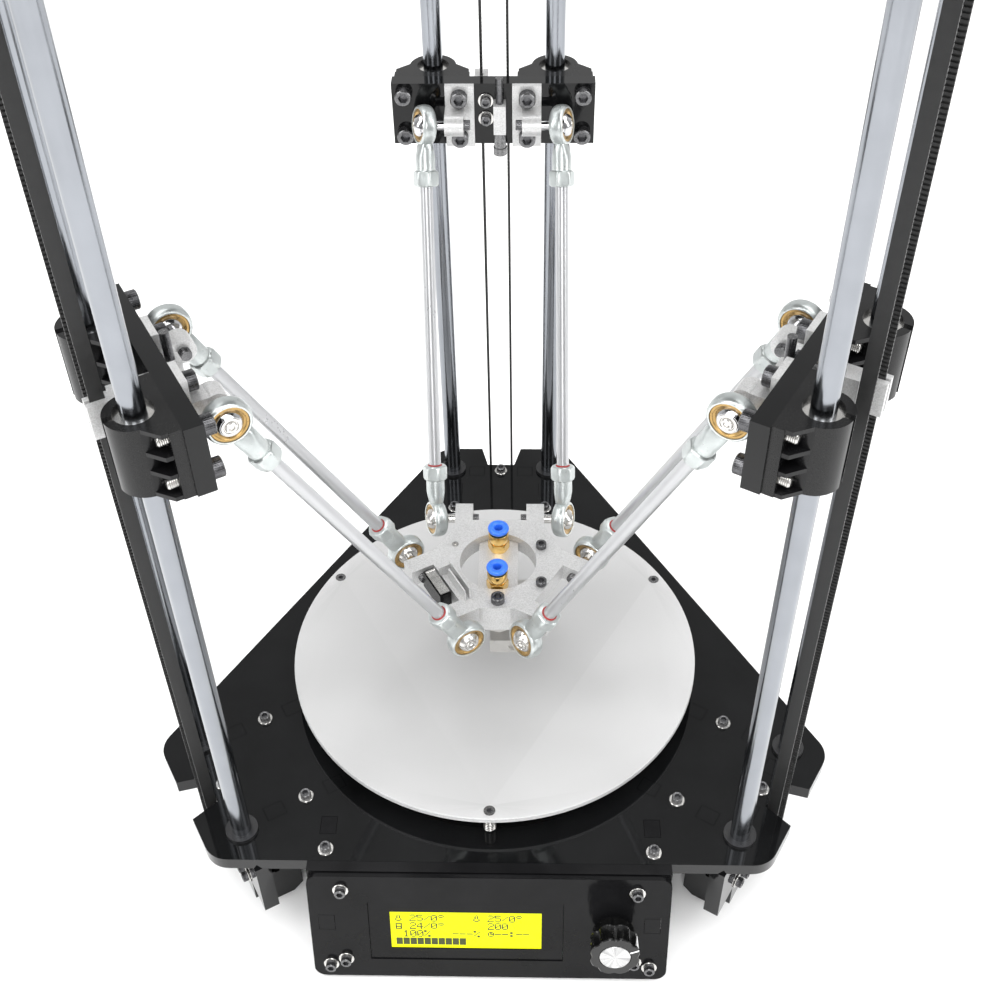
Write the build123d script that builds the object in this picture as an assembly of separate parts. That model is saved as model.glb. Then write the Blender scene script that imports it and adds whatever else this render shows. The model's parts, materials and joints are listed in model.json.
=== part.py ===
from build123d import *
import os
from math import cos, radians, sin, sqrt, tan

os.makedirs("parts", exist_ok=True)

# A desktop delta 3-D printer, in millimetres. The origin is the centre of the
# print surface, +Z is up and +Y points at the back tower. Heights named h are
# measured from the top face of the base plate. Tower pieces are drawn in the
# tower's own frame, with x outwards, y around the machine and z up.

# ---- driving dimensions ----
TOWERS = {"back": 90, "left": 210, "right": 330}
ARM_SIDES = {"back": ("right", "left"), "left": ("rear", "front"), "right": ("front", "rear")}
BED_HEIGHT = 15.3            # print surface above the base plate
TOWER_R = 163.8              # guide rods' distance from the axis
ROD_HALF = 31.1              # guide rods' offset each side of the tower's centre
ROD_R = 5.0
ROD_LENGTH = 500.0

PLATE_T = 8.0                # acrylic sheet
LONG_EDGE = 126.1            # base outline, distance of its three long edges
SHORT_EDGE = 183.9           # and of its three short ones
CORNER_R = 14.0
LEG_DROP = 72.3              # feet below the base plate's top face
TAB_GAP = 0.2                # slack round each tab in its slot

BALL_R = 6.35                # rod-end ball
BALL_HALF = 4.5              # half of the ball's width
RACE_R = 6.40
ARM_LENGTH = 206.5           # ball centre to ball centre
JOINT_HALF = 34.4            # balls' offset each side of the tower's centre
CARRIAGE_JOINT_R = 131.0
JOINT_Z = 0.5                # ball joints above the carriage plate's centre
EFFECTOR_JOINT_R = 37.0
EFFECTOR_H = 80.1            # effector ball centres above the base plate
EFFECTOR_XY = (3.0, 0.0)     # where the effector stands at rest

MOTOR_H = -40.0              # motor shaft's height
IDLER_H = 470.0
BELT_IN = 6.16               # belt's inner radius round a pulley
BELT_T = 1.35
BELT_X = (169.0, 175.0)
PULLEY_R = 6.11

PANEL_TILT = 13.4            # the display panel leans back at its top
PANEL_HALF_W = 91.0
PANEL_CENTRE = (0.0, -143.1, -34.05)   # on its front face, z as a height h
PANEL_T = 3.0
KNOB_AT = (62.5, 4.0)        # on the panel: across, up

SCREW_M3 = (2.75, 3.0, 1.5)  # head radius, head height, shank radius
SCREW_M4 = (3.5, 4.0, 2.0)
SCREW_M5 = (4.25, 5.0, 2.5)
WASHER_R = 4.0
WASHER_T = 0.8


def up(h):
    """Height above the base plate's top face, as z in the part's frame."""
    return h - BED_HEIGHT


# ---- small helpers ----
def block(x, y, z):
    """A box from three (low, high) pairs."""
    size = [b - a for a, b in (x, y, z)]
    middle = [(a + b) / 2 for a, b in (x, y, z)]
    return Pos(*middle) * Box(*size)


def rod(radius, low, high, axis="z"):
    """A cylinder along one axis between two values of that axis."""
    turn = {"x": Rot(0, 90, 0), "y": Rot(-90, 0, 0), "z": Rot(0, 0, 0)}[axis]
    middle = (low + high) / 2
    place = {"x": (middle, 0, 0), "y": (0, middle, 0), "z": (0, 0, middle)}[axis]
    return Pos(*place) * turn * Cylinder(radius, high - low)


def ring(outer, inner, low, high, axis="z"):
    return rod(outer, low, high, axis) - rod(inner, low - 1, high + 1, axis)


def slab(points, low, high, plane=Plane.XY):
    """A plate whose outline is a polygon in the given plane."""
    face = plane.offset(low) * make_face(Polyline(*points, close=True).edges())
    return extrude(face, amount=high - low, dir=plane.z_dir)


def socket_screw(kind, shank, washer=False):
    """A cap screw along z: its head starts at z 0, or above its washer."""
    head_r, head_h, shank_r = kind
    seat = WASHER_T if washer else 0
    screw = rod(head_r, seat, seat + head_h) + rod(shank_r, seat - shank, seat + 0.1)
    hexagon = extrude(RegularPolygon(shank_r * 0.85, 6), amount=head_h)
    screw -= Pos(0, 0, seat + head_h * 0.45) * hexagon
    solids = [screw]
    if washer:
        solids.append(ring(WASHER_R, shank_r + 0.2, 0, WASHER_T))
    return solids


def square_nut(half, thick, bore):
    return block((-half, half), (-half, half), (0, thick)) - rod(bore, -1, thick + 1)


def place(location, solids):
    return [location * s for s in solids]


def tower(name):
    return Rot(0, 0, TOWERS[name])


def write(node, shapes):
    solids = [s for shape in shapes for s in shape.solids()]
    export_step(Compound(children=solids, label=node), f"parts/{node}.step")


# ---- base and top plates ----
def plate_outline():
    """The truncated triangle, with rounded corners."""
    half = (LONG_EDGE - SHORT_EDGE * cos(radians(60))) / sin(radians(60))
    points = []
    for angle in (90, 210, 330):
        for side in (-1, 1):
            p = Vector(SHORT_EDGE, side * half).rotate(Axis.Z, angle)
            points.append((p.X, p.Y))
    face = make_face(Polyline(*points, close=True).edges())
    return fillet(face.vertices(), CORNER_R)


LOBE_SCREW_X = 162.3
TAB_Y = (10.8, 20.3)
MOTOR_PLATE_X = (158.0, 166.0)
GUSSET_Y = 28.5
GUSSET_TABS = ((106.5, 116.5), (140.0, 150.0))
GUSSET_SCREW_X = 127.5
NOTCH_X = 168.3
BRACKET_X = 82.4
BRACKET_TAB_Y = (-110.5, -100.5)
BRACKET_SCREW_Y = -119.5
BED_SCREW_R = 105.8
BED_SCREW_ANGLES = (270, 30, 150)
BOARD_HALF = (55.0, 42.0)    # control board's half size
BOARD_H = -24.0


def slot_box(x, y):
    g = TAB_GAP
    return block((x[0] - g, x[1] + g), (y[0] - g, y[1] + g), (-20, 20))


def base_plate():
    plate = Pos(0, 0, up(-PLATE_T)) * extrude(plate_outline(), amount=PLATE_T)
    mid = up(-PLATE_T / 2)
    for name in TOWERS:
        cuts = [slab([(NOTCH_X, -8.6), (NOTCH_X, 8.6), (190, 14.3), (190, -14.3)], -20, 20)]
        for s in (-1, 1):
            cuts.append(slot_box(MOTOR_PLATE_X, sorted((s * TAB_Y[0], s * TAB_Y[1]))))
            cuts.append(Pos(TOWER_R, s * ROD_HALF) * Cylinder(ROD_R + 0.05, 40))
            cuts.append(Pos(GUSSET_SCREW_X, s * GUSSET_Y) * Cylinder(1.7, 40))
            for tab in GUSSET_TABS:
                low = s * GUSSET_Y - PLATE_T / 2
                cuts.append(slot_box(tab, (low, low + PLATE_T)))
        cuts.append(Pos(LOBE_SCREW_X, 0) * Cylinder(1.7, 40))
        for cut in cuts:
            plate -= Pos(0, 0, mid) * tower(name) * cut
    for s in (-1, 1):
        half = PLATE_T / 2
        x = (s * BRACKET_X - half, s * BRACKET_X + half)
        plate -= Pos(0, 0, mid) * slot_box(x, BRACKET_TAB_Y)
        plate -= Pos(s * BRACKET_X, BRACKET_SCREW_Y, mid) * Cylinder(1.7, 40)
    for angle in BED_SCREW_ANGLES:
        plate -= Pos(0, 0, mid) * Rot(0, 0, angle) * Pos(BED_SCREW_R, 0) * Cylinder(1.7, 40)
    for sx in (-1, 1):
        for sy in (-1, 1):
            plate -= Pos(sx * (BOARD_HALF[0] - 4), sy * (BOARD_HALF[1] - 4), mid) * Cylinder(1.6, 40)
    return plate


TOP_H = (ROD_LENGTH - 2 * PLATE_T, ROD_LENGTH - PLATE_T)
IDLER_SCREW_X = 172.0


def top_plate():
    plate = Pos(0, 0, up(TOP_H[0])) * extrude(plate_outline(), amount=PLATE_T)
    mid = up(sum(TOP_H) / 2)
    for name in TOWERS:
        for s in (-1, 1):
            plate -= Pos(0, 0, mid) * tower(name) * Pos(TOWER_R, s * ROD_HALF) * Cylinder(ROD_R + 0.05, 40)
            plate -= Pos(0, 0, mid) * tower(name) * Pos(IDLER_SCREW_X, s * 13) * Cylinder(1.7, 40)
    return plate


def motor_plate(name):
    """The upright that carries one motor, with two tabs up through the base."""
    wing, leg = 52.0, 33.0
    points = [(-wing, -8), (-wing, -46), (-leg, -46), (-leg, -62), (leg, -62), (leg, -46), (wing, -46), (wing, -8)]
    plate = slab([(y, up(h)) for y, h in points], MOTOR_PLATE_X[0], MOTOR_PLATE_X[1], Plane.YZ)
    for s in (-1, 1):
        plate += block(MOTOR_PLATE_X, sorted((s * TAB_Y[0], s * TAB_Y[1])), (up(-8.5), up(0)))
        plate -= Pos(0, s * GUSSET_Y, up(-45)) * rod(1.7, 150, 180, "x")
        for t in (-1, 1):
            plate -= Pos(0, s * 15.5, up(MOTOR_H + t * 15.5)) * rod(1.7, 150, 180, "x")
    plate -= Pos(0, 0, up(MOTOR_H)) * rod(11.3, 150, 180, "x")
    plate -= block((150, 180), (-1.7, 1.7), (up(-20), up(-7)))
    plate -= block((150, 180), (-2.9, 2.9), (up(-15.6), up(-13)))
    return tower(name) * plate


def gusset(name, side):
    """A foot and brace beside the motor, with two tabs up through the base."""
    y = side * GUSSET_Y - PLATE_T / 2
    points = [(158, -8), (158, -LEG_DROP), (144.6, -LEG_DROP), (139, -67.5), (139, -40), (106, -30), (106, -8)]
    # Plane.XZ looks along -Y, so the slab is drawn at y 0 and then moved.
    plate = slab([(x, up(h)) for x, h in points], 0, PLATE_T, Plane.XZ)
    plate = Pos(0, y + PLATE_T, 0) * plate
    for tab in GUSSET_TABS:
        plate += block(tab, (y, y + PLATE_T), (up(-8.5), up(0)))
    across = (y - 1, y + PLATE_T + 1)
    plate -= block((GUSSET_SCREW_X - 1.7, GUSSET_SCREW_X + 1.7), across, (up(-20), up(-7)))
    plate -= block((GUSSET_SCREW_X - 2.9, GUSSET_SCREW_X + 2.9), across, (up(-15.6), up(-13)))
    plate -= block((147, 159), across, (up(-46.7), up(-43.3)))
    plate -= block((150.4, 153), across, (up(-47.9), up(-42.1)))
    return tower(name) * plate


# ---- drive ----
def stepper_motor(name):
    body = block((118, 158), (-21.15, 21.15), (-21.15, 21.15))
    body = chamfer(body.edges().filter_by(Axis.X), 4)
    body += rod(11.0, 157.9, 160, "x")
    body -= rod(2.55, 148, 161, "x")
    body += block((122, 132), (-24, -20), (-8, 8))
    for s in (-1, 1):
        for t in (-1, 1):
            body -= Pos(0, s * 15.5, t * 15.5) * rod(1.55, 152, 159, "x")
    return tower(name) * Pos(0, 0, up(MOTOR_H)) * body


def drive_pulley(name):
    shaft = rod(2.5, 150, 179.6, "x")
    pulley = ring(8.0, 2.52, 167.2, 168.5, "x") + ring(PULLEY_R, 2.52, 168.4, 175.6, "x")
    pulley += ring(8.0, 2.52, 175.5, 178.6, "x")
    return place(tower(name) * Pos(0, 0, up(MOTOR_H)), [shaft, pulley])


def drive_belt(name):
    gap = IDLER_H - MOTOR_H

    def band(radius):
        column = Pos(0, gap / 2) * Rectangle(2 * radius, gap)
        return column + Circle(radius) + Pos(0, gap) * Circle(radius)

    loop = band(BELT_IN + BELT_T) - band(BELT_IN)
    belt = extrude(Plane.YZ.offset(BELT_X[0]) * loop, amount=BELT_X[1] - BELT_X[0])
    return tower(name) * Pos(0, 0, up(MOTOR_H)) * belt


def idler_pulley(name):
    pulley = ring(8.0, 2.55, 167.4, 168.6, "x") + ring(PULLEY_R, 2.55, 168.5, 175.5, "x")
    pulley += ring(8.0, 2.55, 175.4, 176.6, "x")
    return tower(name) * Pos(0, 0, up(IDLER_H)) * pulley


def idler_bracket(name):
    """A folded steel yoke under the top plate, and the axle through it."""
    top = TOP_H[0]
    yoke = block((163.5, 180.5), (-9, 9), (up(top - 2.5), up(top)))
    yoke += block((163.5, 166), (-9, 9), (up(IDLER_H - 9), up(top)))
    yoke += block((178, 180.5), (-9, 9), (up(IDLER_H - 9), up(top)))
    yoke += block((167, 177), (-17, 17), (up(top - 2.5), up(top)))
    for s in (-1, 1):
        yoke -= Pos(IDLER_SCREW_X, s * 13, up(top)) * Cylinder(1.7, 20)
    yoke -= Pos(0, 0, up(IDLER_H)) * rod(2.52, 160, 185, "x")
    axle = rod(2.5, 162, 182, "x") + rod(4, 180.6, 183, "x")
    return place(tower(name), [yoke, Pos(0, 0, up(IDLER_H)) * axle])


def guide_rods(name):
    low = up(-PLATE_T)
    return [tower(name) * Pos(TOWER_R, s * ROD_HALF) * rod(ROD_R, low, low + ROD_LENGTH) for s in (-1, 1)]


def rod_collars(name):
    solids = []
    for s in (-1, 1):
        for low in (up(0), up(TOP_H[0] - 2.0)):
            solids.append(tower(name) * Pos(TOWER_R, s * ROD_HALF) * ring(8.25, ROD_R + 0.02, low, low + 2.0))
    return solids


# ---- print bed ----
BED_R = 111.0
BED_T = 3.0
HEATER_R = 98.0
NUT_H = 2.4


def bed_screw_spots():
    return [Rot(0, 0, a) * Pos(BED_SCREW_R, 0, 0) for a in BED_SCREW_ANGLES]


def bed_plate():
    plate = rod(BED_R, -BED_T, 0)
    plate = chamfer(plate.edges().group_by(Axis.Z)[-1], 0.4)
    for spot in bed_screw_spots():
        plate -= spot * rod(1.6, -BED_T - 1, 1)
        plate -= spot * Pos(0, 0, -0.8) * Cone(1.5, 3.15, 1.7)
    return plate


def bed_mounting():
    """Countersunk screw, nut and spring at each of the bed's three corners."""
    solids = []
    spring_top = up(0) + BED_HEIGHT - BED_T - NUT_H
    for spot in bed_screw_spots():
        screw = rod(1.5, up(-PLATE_T - 7), -1.6) + Pos(0, 0, -0.85) * Cone(1.45, 3.05, 1.6)
        hexagon = extrude(RegularPolygon(1.15, 6), amount=2)
        screw -= Pos(0, 0, -1.1) * hexagon
        solids.append(spot * screw)
        nut = extrude(RegularPolygon(3.1, 6), amount=NUT_H) - rod(1.52, -1, 5)
        solids.append(spot * Pos(0, 0, spring_top) * nut)
        solids.append(spot * Pos(0, 0, up(-PLATE_T - NUT_H)) * nut)
        coils = ring(3.6, 2.4, up(0), spring_top)
        solids.append(spot * coils)
    return solids


# ---- carriages ----
def carriage_height(name):
    """Height of a carriage's ball joints that the arms' length gives."""
    reach = Vector(CARRIAGE_JOINT_R - EFFECTOR_JOINT_R, 0).rotate(Axis.Z, TOWERS[name])
    flat = reach - Vector(*EFFECTOR_XY)
    return EFFECTOR_H + sqrt(ARM_LENGTH ** 2 - flat.length ** 2)


def carriage(name):
    """The frame of one carriage, whose ball joints sit at z JOINT_Z in it."""
    return tower(name) * Pos(0, 0, up(carriage_height(name) - JOINT_Z))


CARRIAGE_X = (143.5, 151.5)
CARRIAGE_HALF_W = 51.2
CARRIAGE_HALF_H = 16.5
FLANGE_X = 156.5
STRIP_X = CARRIAGE_X[0] - 3.0
HOUSING_R = 11.8
BEARING_R = 9.5
BEARING_HALF = 14.5
SCREW_Y = (ROD_HALF - 14, ROD_HALF + 14)
SCREW_Z = 10.8
CLAMP_SCREWS = ((3.8, 7.4), (3.8, -2.3))
STRIKER_AT = (139.5, -3.3)
BRACKET_Y = (9.6, 24.2)
BOSS_Y = (14.7, 24.2)
BOSS_R = 5.5
STUD_R = 2.5


def carriage_plate(name):
    h = CARRIAGE_HALF_H
    plate = block(CARRIAGE_X, (-CARRIAGE_HALF_W, CARRIAGE_HALF_W), (-h, h))
    for y in (-SCREW_Y[1], -SCREW_Y[0], SCREW_Y[0], SCREW_Y[1]):
        for z in (-SCREW_Z, SCREW_Z):
            plate -= Pos(0, y, z) * rod(2.6, 130, 160, "x")
    for y, z in CLAMP_SCREWS:
        plate -= Pos(0, y, z) * rod(1.6, 130, 160, "x")
    return carriage(name) * plate


def bearing_housing(name, side):
    """A moulded housing: flange, tube with end lips, ribs and a slot."""
    h = CARRIAGE_HALF_H
    centre = side * ROD_HALF
    body = block((CARRIAGE_X[1], FLANGE_X), (-19, 19), (-h, h))
    body += block((FLANGE_X - 1, TOWER_R), (-8.5, 8.5), (-h, h))
    body += Pos(TOWER_R, 0, 0) * rod(HOUSING_R, -h, h)
    shoulder = FLANGE_X + 3
    waist = TOWER_R + 1.7
    outline = [(FLANGE_X - 0.5, -18.5), (FLANGE_X - 0.5, 18.5), (shoulder, 18.5), (waist, 11.2)]
    outline += [(waist, -11.2), (shoulder, -18.5)]
    for low, high in ((-h, -h + 2), (-5.5, -3.5), (3.5, 5.5), (h - 2, h)):
        body += slab(outline, low, high)
    body -= Pos(TOWER_R, 0, 0) * rod(BEARING_R + 0.02, -BEARING_HALF - 0.02, BEARING_HALF + 0.02)
    body -= Pos(TOWER_R, 0, 0) * rod(8.0, -h - 1, h + 1)
    body -= block((TOWER_R + 6, TOWER_R + 14), (-1.5, 1.5), (-h - 1, h + 1))
    for y in (-14, 14):
        for z in (-SCREW_Z, SCREW_Z):
            body -= Pos(0, y, z) * rod(2.6, 140, 162, "x")
    return carriage(name) * Pos(0, centre, 0) * body


def linear_bearing(name, side):
    tube = ring(BEARING_R, ROD_R + 0.05, -BEARING_HALF, BEARING_HALF)
    for z in (-11, 11):
        tube -= ring(BEARING_R + 1, BEARING_R - 0.5, z - 0.6, z + 0.6)
    return carriage(name) * Pos(TOWER_R, side * ROD_HALF, 0) * tube


def ball_stud(inner):
    """A ball on its stud, along y with the ball at the origin. The stud runs
    back to y = inner, and its outer end has a hexagon socket."""
    ball = Sphere(BALL_R) & block((-9, 9), (-BALL_HALF, BALL_HALF), (-9, 9))
    stud = ball + rod(STUD_R, inner, BALL_HALF, "y")
    socket = extrude(Plane.XZ * RegularPolygon(1.7, 6), amount=-3)
    return stud - Pos(0, BALL_HALF - 2, 0) * socket


def joint_pair(radius):
    """Two ball studs at one side of the effector or on one carriage."""
    solids = []
    inner = BOSS_Y[0] - 3.0 - JOINT_HALF
    for side in (-1, 1):
        stud = ball_stud(inner)
        turn = Rot(0, 0, 180) if side < 0 else Rot(0, 0, 0)
        solids.append(Pos(radius, side * JOINT_HALF, 0) * turn * stud)
    return solids


def rod_bracket(side):
    """The aluminium bracket that holds one ball stud on the carriage."""
    strip = block((STRIP_X, CARRIAGE_X[0]), BRACKET_Y, (-CARRIAGE_HALF_H, CARRIAGE_HALF_H))
    web = block((CARRIAGE_JOINT_R, STRIP_X + 1), BOSS_Y, (JOINT_Z - 5, JOINT_Z + 5))
    boss = Pos(CARRIAGE_JOINT_R, 0, JOINT_Z) * rod(BOSS_R, BOSS_Y[0], BOSS_Y[1], "y")
    body = strip + web + boss
    body -= Pos(CARRIAGE_JOINT_R, 0, JOINT_Z) * rod(STUD_R + 0.02, 5, 30, "y")
    for z in (-SCREW_Z, SCREW_Z):
        body -= Pos(0, SCREW_Y[0], z) * rod(2.6, 130, 150, "x")
        body -= Pos(0, SCREW_Y[0], z) * rod(4.35, 120, STRIP_X, "x")
    return body if side > 0 else body.mirror(Plane.XZ)


def rod_brackets(name):
    studs = place(Pos(0, 0, JOINT_Z), joint_pair(CARRIAGE_JOINT_R))
    return place(carriage(name), [rod_bracket(-1), rod_bracket(1)] + studs)


def belt_clamp(name):
    """The clamp behind the plate that takes hold of the belt's one run, and
    the block on the front that carries the stop screw."""
    post = block((CARRIAGE_X[1], 167), (0.4, 9), (-8, 8))
    jaw = block((166, 177), (3.4, 10.4), (-8, 8))
    belt = block((168.9, 178), (BELT_IN - 0.1, BELT_IN + BELT_T + 0.1), (-9, 9))
    clamp = post + jaw - belt
    for y, z in CLAMP_SCREWS:
        clamp -= Pos(0, y, z) * rod(1.6, 140, 160, "x")
    x, y = STRIKER_AT
    stop = block((CARRIAGE_X[0] - 8, CARRIAGE_X[0]), (y - 3.1, y + 3.1), (-7.5, 8))
    stop -= Pos(x, y, 0) * rod(2.05, -12, 14)
    return place(carriage(name), [clamp, stop])


def carriage_fasteners(name):
    inwards = Rot(0, -90, 0)
    solids = []
    for side in (-1, 1):
        for z in (-SCREW_Z, SCREW_Z):
            outer = Pos(CARRIAGE_X[0], side * SCREW_Y[1], z) * inwards
            inner = Pos(STRIP_X, side * SCREW_Y[0], z) * inwards
            solids += place(outer, socket_screw(SCREW_M5, 17.5))
            solids += place(inner, socket_screw(SCREW_M5, 20.5))
    for y, z in CLAMP_SCREWS:
        solids += place(Pos(CARRIAGE_X[0], y, z) * inwards, socket_screw(SCREW_M3, 14, washer=True))
    x, y = STRIKER_AT
    stop_screw = rod(2.0, -18, 21.5) + rod(3.5, -20, -16)
    solids.append(Pos(x, y, 0) * stop_screw)
    solids.append(Pos(x, y, 0) * ring(3.1, 2.3, -15.9, -7.6))
    return place(carriage(name), solids)


# ---- arms ----
HEAD_R = 10.0
HEAD_HALF = 3.5
RACE_OUT = 8.2
SHANK_END = 30.0
TUBE_R = 3.2
TUBE_IN = 18.0


def rod_end():
    """A female rod end with its race: the ball is at the origin, its stud
    runs along y and the shank points along +z."""
    body = rod(HEAD_R, -HEAD_HALF, HEAD_HALF, "y")
    neck = Pos(0, 0, 7) * Cone(5.6, 5.0, 16, align=(Align.CENTER, Align.CENTER, Align.MIN))
    body += neck & block((-8, 8), (-5.0, 5.0), (0, 30))
    body += Pos(0, 0, 22) * extrude(RegularPolygon(6.2, 6), amount=SHANK_END - 22)
    body -= rod(RACE_OUT, -8, 8, "y")
    body -= rod(TUBE_R + 0.02, TUBE_IN - 0.02, 40)
    race = rod(RACE_OUT - 0.02, -3.0, 3.0, "y") - Sphere(RACE_R)
    return [body, race]


def ball_centre(name, side, on_carriage):
    if on_carriage:
        local = Vector(CARRIAGE_JOINT_R, side * JOINT_HALF, up(carriage_height(name)))
        return local.rotate(Axis.Z, TOWERS[name])
    local = Vector(EFFECTOR_JOINT_R, side * JOINT_HALF, up(EFFECTOR_H))
    return local.rotate(Axis.Z, TOWERS[name]) + Vector(*EFFECTOR_XY)


END_TURN = {("back", -1): (22, 22), ("back", 1): (-24, -24), ("right", -1): (0, 24)}


def arm(name, side):
    """One arm from the carriage ball down to the effector ball. Some of the rod ends
    stand turned about the arm."""
    top = ball_centre(name, side, True)
    foot = ball_centre(name, side, False)
    along = foot - top
    stud = Vector(0, 1, 0).rotate(Axis.Z, TOWERS[name])
    x_dir = stud.cross(along)
    frame = Plane(origin=top, x_dir=x_dir, z_dir=along).location
    upper, lower = END_TURN.get((name, side), (0, 0))
    solids = place(frame * Rot(0, 0, upper), rod_end())
    solids += place(frame * Pos(0, 0, ARM_LENGTH) * Rot(0, 0, lower) * Rot(180, 0, 0), rod_end())
    solids.append(frame * rod(TUBE_R, TUBE_IN, ARM_LENGTH - TUBE_IN))
    return solids


# ---- effector ----
EFFECTOR_TOP = EFFECTOR_H + 5.4
EFFECTOR_T = 10.0
EFFECTOR_HOLE_R = 20.0
EFFECTOR_TAB_X = 43.0
EFFECTOR_TAB_Y = (14.5, 24.0)
HOTEND_Y = 14.0
BRIDGE_H = (72.0, 81.5)
BLOCK_H = (38.0, 47.5)
NOZZLE_H = 30.9


def effector():
    """The effector's frame: x and y of its centre, z at the base plate."""
    return Pos(EFFECTOR_XY[0], EFFECTOR_XY[1], up(0))


def effector_plate():
    """A thick plate with three pairs of tabs and a round hole."""
    low = EFFECTOR_TOP - EFFECTOR_T
    plate = rod(34.0, low, EFFECTOR_TOP)
    for angle in TOWERS.values():
        side = block((0, 30.5), (-EFFECTOR_TAB_Y[1], EFFECTOR_TAB_Y[1]), (low, EFFECTOR_TOP))
        beyond = block((30.5, 60), (-60, 60), (low - 1, EFFECTOR_TOP + 1))
        plate = plate - Rot(0, 0, angle) * beyond + Rot(0, 0, angle) * side
    for angle in TOWERS.values():
        front = block((33.0, 60), (-7, 7), (low - 1, EFFECTOR_TOP + 1))
        plate -= Rot(0, 0, angle + 180) * front
        for s in (-1, 1):
            y = sorted((s * EFFECTOR_TAB_Y[0], s * EFFECTOR_TAB_Y[1]))
            tab = block((22, EFFECTOR_TAB_X), y, (low, EFFECTOR_TOP))
            plate += Rot(0, 0, angle) * tab
    plate -= rod(EFFECTOR_HOLE_R, low - 1, EFFECTOR_TOP + 1)
    for angle in TOWERS.values():
        hole = rod(STUD_R + 0.02, -60, 60, "y")
        plate -= Rot(0, 0, angle) * Pos(EFFECTOR_JOINT_R, 0, EFFECTOR_H) * hole
    for x, y, kind in EFFECTOR_SCREWS:
        plate -= Pos(x, y, 0) * rod(kind[2] + 0.1, low - 1, EFFECTOR_TOP + 1)
    plate -= Pos(*EFFECTOR_PIN) * rod(1.78, EFFECTOR_TOP - 6, EFFECTOR_TOP + 1)
    return effector() * plate


EFFECTOR_PIN = (-22.9, 12.0)  # a small grub screw beside the hole
EFFECTOR_SCREWS = ((22.5, 10.5, SCREW_M3), (22.5, -16.0, SCREW_M3), (0.5, -28.0, SCREW_M4))


def hotend_bridge():
    """A bar across the plate's hole, screwed up against the plate's underside."""
    low = EFFECTOR_TOP - EFFECTOR_T
    bridge = block((-10.3, 10.3), (-33.0, 26.0), (BRIDGE_H[0] - 3, low))
    middle = rod(EFFECTOR_HOLE_R - 0.2, low - 1, BRIDGE_H[1]) & block((-10.3, 10.3), (-30, 30), (60, 90))
    bridge += middle
    for s in (-1, 1):
        bridge -= Pos(0, s * HOTEND_Y, 0) * rod(3.05, 60, 90)
    bridge -= Pos(0.5, -28.0, 0) * rod(2.1, 60, 90)
    return effector() * bridge


def hotend():
    """Cold end with fins, heat break, heater block and nozzle, on the z axis."""
    top = BRIDGE_H[0] - 3
    cold = rod(6.5, 53, top)
    for i in range(4):
        cold += rod(8.0, 54.5 + 3.5 * i, 56.3 + 3.5 * i)
    cold += rod(3.0, top - 0.1, BRIDGE_H[1] - 1)
    cold -= rod(1.0, 50, 90)
    neck = ring(2.2, 1.0, 47.5, 53)
    heater = block((-4.5, 15.5), (-8, 8), BLOCK_H)
    heater -= rod(1.0, 30, 50)
    heater -= Pos(8.4, 0, 42.7) * rod(3.0, -10, 10, "y")
    cartridge = Pos(8.4, 0, 42.7) * rod(2.95, -6.5, 9, "y")
    nozzle = extrude(RegularPolygon(4.0, 6), amount=3)
    nozzle = Pos(0, 0, BLOCK_H[0] - 3) * nozzle
    tip = Cone(1.0, 3.2, 4.2, align=(Align.CENTER, Align.CENTER, Align.MIN))
    nozzle += Pos(0, 0, NOZZLE_H) * tip
    nozzle -= rod(0.4, 20, 50)
    return [cold, neck, heater, cartridge, nozzle]


def hotends():
    solids = []
    for s in (-1, 1):
        solids += place(effector() * Pos(0, s * HOTEND_Y, 0), hotend())
    return solids


def push_fittings():
    """Two brass tube fittings with their release collets."""
    base = BRIDGE_H[1]
    solids = []
    for s in (-1, 1):
        brass = Pos(0, 0, base) * extrude(RegularPolygon(6.0, 6), amount=5)
        brass += rod(5.2, base + 4.9, base + 11.5)
        brass -= rod(3.1, base + 3, base + 20)
        brass -= rod(1.0, base - 1, base + 5)
        collet = rod(3.05, base + 6, base + 13) + rod(5.4, base + 13, base + 15.5)
        collet -= rod(2.1, base + 5, base + 20)
        solids += place(effector() * Pos(0, s * HOTEND_Y, 0), [brass, collet])
    return solids


PROBE_X = 35.0
PROBE_PIVOT = (35.0, -9.0, 87.2)


def probe_switch():
    """The height probe: a microswitch between the left tabs on a folded leaf."""
    body = block((31.8, 38.2), (-11.5, 8.5), (76.0, 86.5))
    leaf = block((24.5, 25.3), (-6, 16), (EFFECTOR_TOP, EFFECTOR_TOP + 7.5))
    leaf += block((24.5, 31.6), (-6, -5.2), (EFFECTOR_TOP, EFFECTOR_TOP + 6))
    second = block((27.3, 28.1), (-2, 16), (EFFECTOR_TOP, EFFECTOR_TOP + 7))
    frame = effector() * Rot(0, 0, TOWERS["left"])
    return place(frame, [body, leaf, second])


def probe_lever():
    x, y, h = PROBE_PIVOT
    lever = block((x - 2.6, x + 2.6), (y, y + 17), (h, h + 0.5))
    lever += Pos(x, y, h + 0.25) * rod(0.8, -2.6, 2.6, "x")
    return effector() * Rot(0, 0, TOWERS["left"]) * lever


def effector_fasteners():
    solids = []
    for angle in TOWERS.values():
        solids += place(effector() * Rot(0, 0, angle) * Pos(0, 0, EFFECTOR_H), joint_pair(EFFECTOR_JOINT_R))
    for x, y, kind in EFFECTOR_SCREWS:
        solids += place(effector() * Pos(x, y, EFFECTOR_TOP), socket_screw(kind, 9.5))
    pin = rod(1.75, EFFECTOR_TOP - 5.5, EFFECTOR_TOP + 0.3)
    pin -= Pos(0, 0, EFFECTOR_TOP - 1) * extrude(RegularPolygon(0.9, 6), amount=3)
    solids.append(effector() * Pos(*EFFECTOR_PIN) * pin)
    return solids


# ---- end stops at the top ----
SWITCH_H = (TOP_H[0] - 9.0, TOP_H[0])
LEVER_H = SWITCH_H[0] - 1.9


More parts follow.
